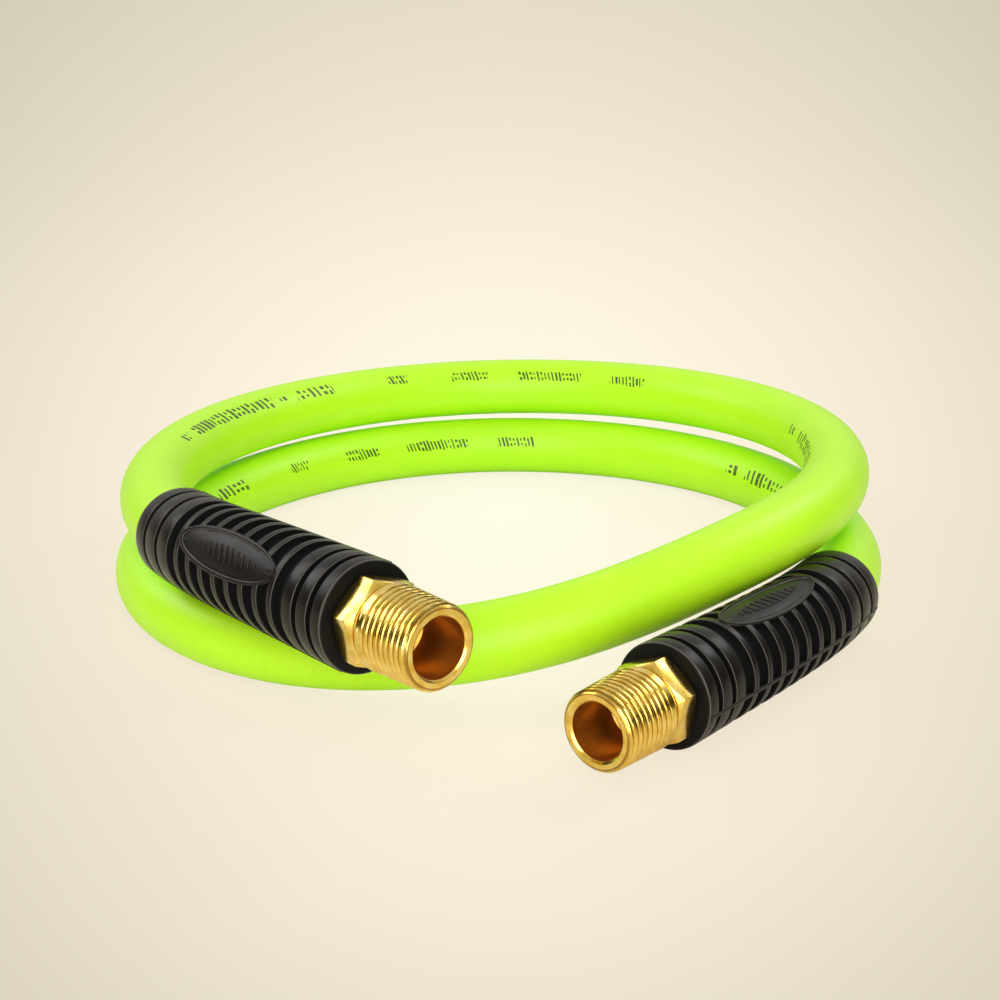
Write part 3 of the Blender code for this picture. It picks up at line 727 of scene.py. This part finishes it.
def rounded(profile, segments=3):
    """The closed profile of (place, radius, rounding) with each corner rounded."""
    result = []
    count = len(profile)
    for index in range(count):
        before, corner, after = (
            np.array(profile[(index + k) % count][:2]) for k in (-1, 0, 1))
        rounding = profile[index][2]
        if rounding == 0:
            result.append(tuple(corner))
            continue
        back, on = np.linalg.norm(before - corner), np.linalg.norm(after - corner)
        reach = min(rounding, back * 0.45, on * 0.45)
        first = corner + (before - corner) / back * reach
        last = corner + (after - corner) / on * reach
        for step in range(segments + 1):
            t = step / segments
            result.append(
                tuple((1 - t) ** 2 * first + 2 * t * (1 - t) * corner + t * t * last))
    return result


section = []
for index, (start, finish) in enumerate(raised):
    start, finish = boot_front + start, boot_front + finish
    if index:
        section += [(start, crest(start) - groove_depth, groove_rounding),
                    (start, crest(start), crest_rounding)]
    else:
        section += [(start, crest(start), front_rounding)]
    if index < len(raised) - 1:
        section += [(finish, crest(finish), crest_rounding),
                    (finish, crest(finish) - groove_depth, groove_rounding)]
    else:
        section += [(finish, crest(finish), rear_rounding)]
room_front, room_rear = ferrule_room
section += [(place, hose_hole, 0) for place in np.linspace(boot_rear, room_rear, 18)]
section += [(room_rear, ferrule_hole, 0), (room_front, ferrule_hole, 0),
            (room_front, collar_hole, 0), (boot_front, collar_hole, 0)]
boot = lathe("boot", rounded(section), sides=96)

# Flash lines at the mould's parting, down both sides: each is a strip, wider at its foot.
flash_width = 0.8 * MM
flash_height = 0.16 * MM
flash_foot = -1.9 * MM
strips = []
for sense in (1, -1):
    bpy.ops.mesh.primitive_grid_add(x_subdivisions=46, y_subdivisions=2, size=1)
    strip = bpy.context.active_object
    bpy.ops.object.mode_set(mode="EDIT")
    bpy.ops.mesh.select_all(action="SELECT")
    bpy.ops.transform.resize(value=(boot_length - 2.0 * MM, flash_width, 1))
    bpy.ops.mesh.extrude_region_move(TRANSFORM_OT_translate={"value": (0, 0, 2.0 * MM)})
    bpy.ops.mesh.select_all(action="SELECT")
    bpy.ops.mesh.normals_make_consistent(inside=False)
    bpy.ops.object.mode_set(mode="OBJECT")
    for vertex in strip.data.vertices:
        top = vertex.co.z > 1.0 * MM
        place = boot_front + boot_length / 2 + vertex.co.x
        radius = crest(place) + (flash_height if top else flash_foot)
        across = vertex.co.y * (0.75 if top else 1.4)
        vertex.co = (place, sense * radius, -sense * across)
    clean_up(strip)
    strips.append(strip)

oval_centre = boot_front + 44.4 * MM


def oval_piece(name, rings):
    """An oval built up ring by ring, (half length, half width, level over the ribs) in
    millimetres, then laid round the boot."""
    bpy.ops.mesh.primitive_circle_add(vertices=112, radius=1, fill_type="NGON")
    piece = bpy.context.active_object
    piece.name = name
    bpy.ops.object.mode_set(mode="EDIT")
    bpy.ops.mesh.select_all(action="SELECT")
    long, wide, level = rings[0]
    bpy.ops.transform.resize(value=(long * MM, wide * MM, 1))
    bpy.ops.transform.translate(value=(0, 0, level * MM))
    for next_long, next_wide, next_level in rings[1:]:
        bpy.ops.mesh.extrude_region_move(
            TRANSFORM_OT_translate={"value": (0, 0, (next_level - level) * MM)})
        bpy.ops.transform.resize(value=(next_long / long, next_wide / wide, 1))
        long, wide, level = next_long, next_wide, next_level
    bpy.ops.object.mode_set(mode="OBJECT")
    wrap_round(piece)
    return piece


def wrap_round(piece):
    """Lays a flat piece on the boot: its X runs along the boot, its Y round it."""
    for vertex in piece.data.vertices:
        place = oval_centre + vertex.co.x
        around = vertex.co.y / crest(place)
        radius = crest(place) + vertex.co.z
        vertex.co = (place, -radius * math.sin(around), radius * math.cos(around))
    clean_up(piece)


# The ribs are cleared away under the oval, and the oval's pad, rim and sunk field put in.
clearing = oval_piece("oval_clearing", [
    (6.0, 1.6, -1.0), (14.0, 3.9, -1.0), (21.9, 6.0, -1.0), (21.9, 6.0, 1.5),
    (14.0, 3.9, 1.5), (6.0, 1.6, 1.5)])
pad = oval_piece("oval_pad", [
    (6.0, 1.7, -1.95), (14.0, 4.1, -1.95), (22.2, 6.3, -1.95), (22.2, 6.3, -0.3),
    (22.2, 6.3, 0.12), (22.12, 6.22, 0.27), (21.95, 6.05, 0.34), (21.6, 5.7, 0.34),
    (21.42, 5.52, 0.27), (21.32, 5.42, 0.12), (21.25, 5.35, -0.15), (21.0, 5.1, -0.3),
    (17.5, 4.25, -0.3), (12.0, 3.0, -0.3), (6.0, 1.6, -0.3)])
apply_modifier(boot, "BOOLEAN", operation="DIFFERENCE", object=clearing, solver="EXACT")
for addition in (*strips, pad):
    apply_modifier(boot, "BOOLEAN", operation="UNION", object=addition, solver="EXACT")
for helper in (*strips, pad, clearing):
    bpy.data.objects.remove(helper, do_unlink=True)

# A row of plain raised bars gives the thumb a hold in the oval. They slant a little, and
# grow shorter from the middle one outwards.
bar_count = 11
bar_pitch = 2.6 * MM
bar_size = (1.1 * MM, 4.6 * MM)
bar_height = 0.8 * MM
bar_sunk = 0.72 * MM
bar_slant = 0.3
bar_shortening = 0.028
bpy.ops.mesh.primitive_grid_add(x_subdivisions=2, y_subdivisions=8, size=1)
bar = bpy.context.active_object
bpy.ops.object.mode_set(mode="EDIT")
bpy.ops.mesh.select_all(action="SELECT")
bpy.ops.transform.resize(value=(*bar_size, 1))
bpy.ops.mesh.extrude_region_move(TRANSFORM_OT_translate={"value": (0, 0, bar_height)})
bpy.ops.transform.resize(value=(0.7, 0.94, 1))
bpy.ops.object.mode_set(mode="OBJECT")
bars = []
for index in range(bar_count):
    from_middle = index - bar_count // 2
    one = bar.copy()
    one.data = bar.data.copy()
    scene.collection.objects.link(one)
    for vertex in one.data.vertices:
        across = vertex.co.y * (1.0 - bar_shortening * from_middle ** 2)
        vertex.co = (vertex.co.x + from_middle * bar_pitch + across * bar_slant,
                     across, vertex.co.z - bar_sunk)
    wrap_round(one)
    bars.append(one)
bpy.data.objects.remove(bar, do_unlink=True)
only(bars[0])
for one in bars[1:]:
    one.select_set(True)
bpy.ops.object.join()
apply_modifier(boot, "BOOLEAN", operation="UNION", object=bars[0], solver="EXACT")
bpy.data.objects.remove(bars[0], do_unlink=True)
drop_slivers(boot)
# The booleans' many-sided faces are split while they are still flat, before the bend.
apply_modifier(boot, "TRIANGULATE")
drop_slivers(boot)
keep_own_place(boot)

# Moulded rubber: black with a brown cast that varies in patches of 7 mm, satin on the
# crests and dull in the grooves, with a little pale dust. The mould's grain is drawn at
# 0.6 mm, coarser than the real one, to show.
mould_scale = 1600.0
patch_scale = 150.0
moulded_rubber, tree, shader = new_material("moulded_black_rubber")
own = add_node(tree, "Attribute", attribute_name="own_place")
split = add_node(tree, "SeparateXYZ", {0: own.outputs["Vector"]})
flat = add_node(tree, "CombineXYZ", {1: split.outputs[1], 2: split.outputs[2]})
off_axis = add_node(tree, "VectorMath", {0: flat.outputs[0]}, operation="LENGTH")
# The level is the radius with the boot's narrowing taken out, so that all crests agree.
narrowing = (rear_crest - front_crest) / boot_length
crest_level = crest(0)
level = add_node(tree, "Math", {0: split.outputs[0], 1: -narrowing,
                                2: off_axis.outputs["Value"]}, operation="MULTIPLY_ADD")
on_crest = add_node(tree, "MapRange", {0: level.outputs[0], 1: crest_level - 0.8 * MM,
                                       2: crest_level - 0.2 * MM})
mould = add_node(tree, "TexNoise", {"Vector": own.outputs["Vector"], "Scale": mould_scale,
                                    "Detail": 3.0})
patches = add_node(tree, "TexNoise", {"Vector": own.outputs["Vector"],
                                      "Scale": patch_scale, "Detail": 4.0})
crests = add_node(tree, "Mix", {0: patches.outputs["Fac"], 6: linear("0D0A08"),
                                7: linear("1A1613")}, data_type="RGBA")
dust = add_node(tree, "MapRange", {0: mould.outputs["Fac"], 1: 0.68, 2: 0.78,
                                   3: 0.0, 4: 0.35})
crests = add_node(tree, "Mix", {0: dust.outputs[0], 6: crests.outputs[2],
                                7: linear("5A544B")}, data_type="RGBA")
# The ribs' rounded edges are painted paler: a painted highlight along the edges, partly wear
# from handling.
sheen_and_wear_in = add_node(tree, "MapRange", {0: level.outputs[0], 1: crest_level - 0.26 * MM,
                                      2: crest_level - 0.18 * MM, 3: 0.0, 4: 0.5})
sheen_and_wear_out = add_node(tree, "MapRange", {0: level.outputs[0], 1: crest_level - 0.12 * MM,
                                       2: crest_level - 0.02 * MM, 3: 1.0, 4: 0.0})
wear_and_sheen = add_node(tree, "Math", {0: sheen_and_wear_in.outputs[0], 1: sheen_and_wear_out.outputs[0]},
                operation="MULTIPLY")
crests = add_node(tree, "Mix", {0: wear_and_sheen.outputs[0], 6: crests.outputs[2],
                                7: linear("7A746A")}, data_type="RGBA")
# The grooves between the ribs are painted near black: painted shade in the grooves.
colour = add_node(tree, "Mix", {0: on_crest.outputs[0], 6: linear("020202"),
                                7: crests.outputs[2]}, data_type="RGBA")
rough = add_node(tree, "MapRange", {0: patches.outputs["Fac"], 1: 0.3, 2: 0.7,
                                    3: 0.26, 4: 0.36})
dull = add_node(tree, "MapRange", {0: on_crest.outputs[0], 3: 0.35, 4: 0.0})
rough = add_node(tree, "Math", {0: rough.outputs[0], 1: dull.outputs[0]}, operation="ADD")
bump = add_node(tree, "Bump", {"Height": mould.outputs["Fac"], "Strength": 0.25,
                               "Distance": 0.04 * MM})
tree.links.new(colour.outputs[2], shader.inputs["Base Color"])
tree.links.new(rough.outputs[0], shader.inputs["Roughness"])
tree.links.new(bump.outputs[0], shader.inputs["Normal"])
shader.inputs["Specular IOR Level"].default_value = 0.2
boot.data.materials.clear()
boot.data.materials.append(moulded_rubber)
only(boot)
bpy.ops.object.shade_smooth_by_angle(angle=math.radians(32))

# Turn of the oval from straight up, at each end. The bend follows a guide laid along the
# first part of the hose, from the nose.
oval_turn = {"a": math.radians(-56), "b": math.radians(9)}
guide_length = 150 * MM
for end in ("a", "b"):
    guide_data = bpy.data.curves.new("bend", "CURVE")
    guide_data.dimensions = "3D"
    guide_data.twist_mode = "Z_UP"
    from_nose = np.linspace(0, guide_length, 300)
    guide_line = line_at(from_nose if end == "a" else line_length - from_nose)
    spline = guide_data.splines.new("POLY")
    spline.points.add(len(guide_line) - 1)
    for point, where in zip(spline.points, guide_line):
        point.co = (*where, 1)
    guide = bpy.data.objects.new("bend", guide_data)
    scene.collection.objects.link(guide)
    restrictor = boot.copy()
    restrictor.data = boot.data.copy()
    restrictor.name = "bend_restrictor_sleeve_" + end
    scene.collection.objects.link(restrictor)
    restrictor.data.transform(Matrix.Rotation(oval_turn[end], 4, "X"))
    apply_modifier(restrictor, "CURVE", object=guide, deform_axis="POS_X")
    bpy.data.objects.remove(guide, do_unlink=True)
    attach(restrictor, "root")
    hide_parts("bend_restrictor_" + end)
bpy.data.objects.remove(boot, do_unlink=True)


# ---- Floor
# Plain cream paper under and behind the coil. A pool of light lies on it, brightest
# round the coil.

bpy.ops.mesh.primitive_plane_add(size=60, location=(0, 0, 0))
floor = bpy.context.active_object
floor.name = "floor"
bpy.ops.object.transform_apply(location=True, rotation=True, scale=True)
paper, tree, shader = new_material("cream_paper")
position = add_node(tree, "TexCoord")
split = add_node(tree, "SeparateXYZ", {0: position.outputs["Object"]})
# The pool is round when looked down on at 17.6 degrees from the front, so it widens with
# the distance from there. These are the slant's cosine and sine, and for the floor's
# middle the distance along the slant and the height over it.
slant_cosine = 0.953
slant_sine = 0.303
middle_depth = 0.529
middle_height = -0.0285
least_depth = 0.3
depth = add_node(tree, "Math", {0: split.outputs[1], 1: slant_cosine, 2: middle_depth},
                 operation="MULTIPLY_ADD")
depth = add_node(tree, "Math", {0: depth.outputs[0], 1: least_depth}, operation="MAXIMUM")
rise = add_node(tree, "Math", {0: split.outputs[1], 1: slant_sine, 2: middle_height},
                operation="MULTIPLY_ADD")
across = add_node(tree, "Math", {0: split.outputs[0], 1: depth.outputs[0]},
                  operation="DIVIDE")
upward = add_node(tree, "Math", {0: rise.outputs[0], 1: depth.outputs[0]},
                  operation="DIVIDE")
spot = add_node(tree, "CombineXYZ", {0: across.outputs[0], 1: upward.outputs[0]})
apart = add_node(tree, "VectorMath", {0: spot.outputs[0]}, operation="LENGTH")
pool = add_node(tree, "ValToRGB", {0: apart.outputs["Value"]}, stops=[
    (0.0, "FEFBE6"), (0.1, "FDF7E1"), (0.15, "FCF2DC"), (0.21, "F6EBD7"),
    (0.277, "EDE4D0"), (0.316, "E7DFCB"), (0.416, "D9D1BE"), (0.7, "DBD3BF")])
tree.links.new(pool.outputs[0], shader.inputs["Base Color"])
shader.inputs["Roughness"].default_value = 0.9
shader.inputs["Specular IOR Level"].default_value = 0.1
# The paper glows by itself for most of what is seen of it, so that shadows stay faint.
glow = add_node(tree, "Emission", {0: pool.outputs[0], 1: 1.0})
light_path = add_node(tree, "LightPath")
seen = add_node(tree, "Math", {0: light_path.outputs["Is Camera Ray"], 1: 0.85},
                operation="MULTIPLY")
blend = add_node(tree, "MixShader", {0: seen.outputs[0], 1: shader.outputs[0],
                                     2: glow.outputs[0]})
tree.links.new(blend.outputs[0], tree.nodes["Material Output"].inputs["Surface"])
floor.data.materials.append(paper)


# ---- Light
# A soft studio: bright overhead and behind the coil, darker along the side walls, with a
# softbox at each side for the brass and the rubber, and a broad fill from the front.

world = bpy.data.worlds.new("studio")
scene.world = world
world.use_nodes = True
tree = world.node_tree
background = tree.nodes["Background"]
sky = add_node(tree, "TexCoord")
split = add_node(tree, "SeparateXYZ", {0: sky.outputs["Generated"]})
height = add_node(tree, "MapRange", {0: split.outputs[2], 1: -0.2, 2: 1.0})
side_walls = add_node(tree, "ValToRGB", {0: height.outputs[0]}, stops=[
    (0.0, "FFF9EC"), (0.15, "8F897C"), (0.24, "3A362F"), (0.46, "57524A"),
    (0.6, "E9E6DE"), (0.8, "FFFFFF"), (1.0, "E8E6E0")])
back_wall = add_node(tree, "ValToRGB", {0: height.outputs[0]}, stops=[
    (0.0, "FFF9EC"), (0.2, "C9C2B3"), (0.4, "F1EDE4"), (0.6, "FFFFFF"),
    (1.0, "E8E6E0")])
facing = add_node(tree, "MapRange", {0: split.outputs[1], 1: 0.3, 2: 0.8})
walls = add_node(tree, "Mix", {0: facing.outputs[0], 6: side_walls.outputs[0],
                               7: back_wall.outputs[0]}, data_type="RGBA")
tree.links.new(walls.outputs[2], background.inputs[0])
background.inputs[1].default_value = 0.85
# The camera sees one plain tone beyond the floor, not the studio's walls.
plain = add_node(tree, "Background", {0: linear("DBD3BF"), 1: 1.0})
light_path = add_node(tree, "LightPath")
choice = add_node(tree, "MixShader", {0: light_path.outputs["Is Camera Ray"],
                                      1: background.outputs[0], 2: plain.outputs[0]})
tree.links.new(choice.outputs[0], tree.nodes["World Output"].inputs["Surface"])

for name, stand, target, size, power in (
    ("softbox_left", (-0.75, 0.25, 0.6), (-0.02, -0.08, 0.04), 0.45, 2.2),
    ("softbox_right", (0.62, 0.38, 0.7), (0.03, -0.08, 0.02), 0.35, 1.7),
    ("front_fill", (0.0, -1.1, 0.3), (0, 0, 0.02), 1.0, 12.5),
):
    lamp_data = bpy.data.lights.new(name, "AREA")
    lamp_data.shape = "SQUARE"
    lamp_data.size = size
    lamp_data.energy = power
    lamp = bpy.data.objects.new(name, lamp_data)
    lamp.location = stand
    lamp.rotation_euler = (Vector(target) - Vector(stand)).to_track_quat("-Z", "Y").to_euler()
    scene.collection.objects.link(lamp)
